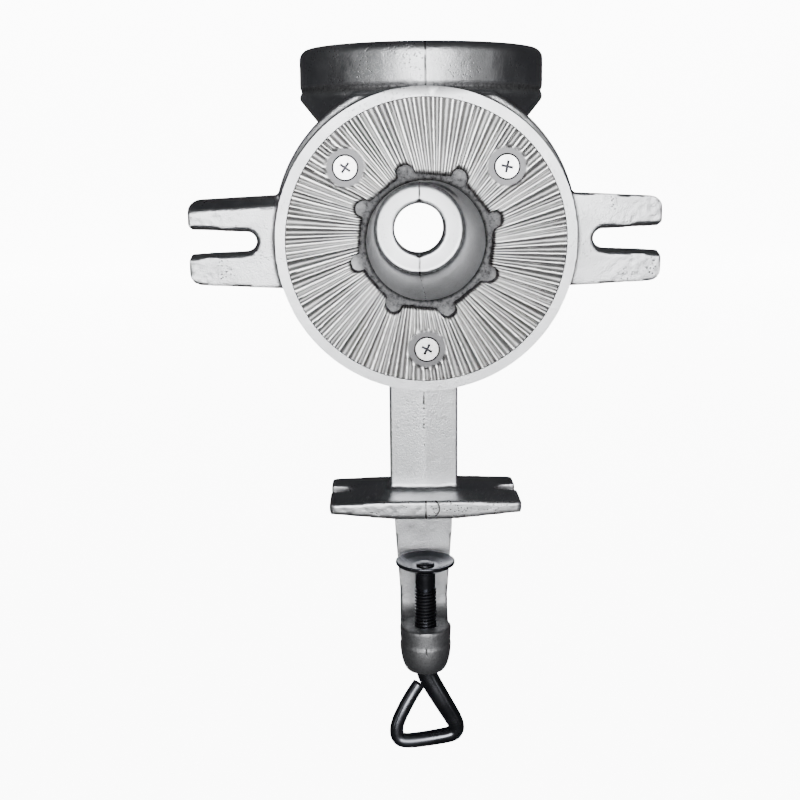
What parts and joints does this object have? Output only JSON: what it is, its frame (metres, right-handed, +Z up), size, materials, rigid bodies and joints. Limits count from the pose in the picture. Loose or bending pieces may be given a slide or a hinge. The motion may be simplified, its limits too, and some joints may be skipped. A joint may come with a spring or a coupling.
{
  "type": "hand mill body with table clamp",
  "caption": "Cast body of a hand-cranked corn mill with a grooved grinding plate, slotted lugs, hopper collar and a table clamp with a turning screw.",
  "frame": {"origin": "where the clamp screw's axis meets the flat underside of the table ledge", "axes": "+Z up along the clamp screw, +Y from the grinding plate to the rear bearing, +X to the right when facing the grinding plate"},
  "size_m": [0.19, 0.1084, 0.3095],
  "materials": {
    "body_casting": "bright tinned casting with sand texture, smooth where it is filed",
    "burr_iron": "bare grooved iron with bright ridges",
    "zinc_steel": "bright zinc plating",
    "dark_steel": "dark oiled steel"
  },
  "bodies": {
    "body": {"burr_flange": "body_casting", "lug_left": "body_casting", "lug_right": "body_casting", "barrel": "body_casting", "rear_bearing": "body_casting", "hopper_collar": "body_casting", "hopper_funnel": "body_casting", "leg": "body_casting", "table_ledge": "body_casting", "ledge_end_left": "body_casting", "ledge_end_right": "body_casting", "clamp_arm": "body_casting", "screw_boss": "body_casting", "fixed_burr_plate": "burr_iron", "plate_screw_upper_left": "zinc_steel", "plate_screw_upper_right": "zinc_steel", "plate_screw_lower": "zinc_steel", "plate_nut_upper_left": "zinc_steel", "plate_nut_upper_right": "zinc_steel", "plate_nut_lower": "zinc_steel"},
    "pad": {"clamp_pad": "dark_steel"},
    "screw": {"clamp_screw": "dark_steel"}
  },
  "joints": [
    {"name": "pad_travel", "type": "slide", "parent": "body", "child": "pad", "axis": [0, 0, 1], "range_m": [-0.024, 0]},
    {"name": "screw_turn", "type": "hinge", "parent": "pad", "child": "screw", "pos_m": [0, 0, -0.05], "axis": [0, 0, 1], "range_deg": [-5761, 1]}
  ],
  "couplings": [
    {"joint": "screw_turn", "follows": "pad_travel", "rad_per_m": 4188.8}
  ]
}
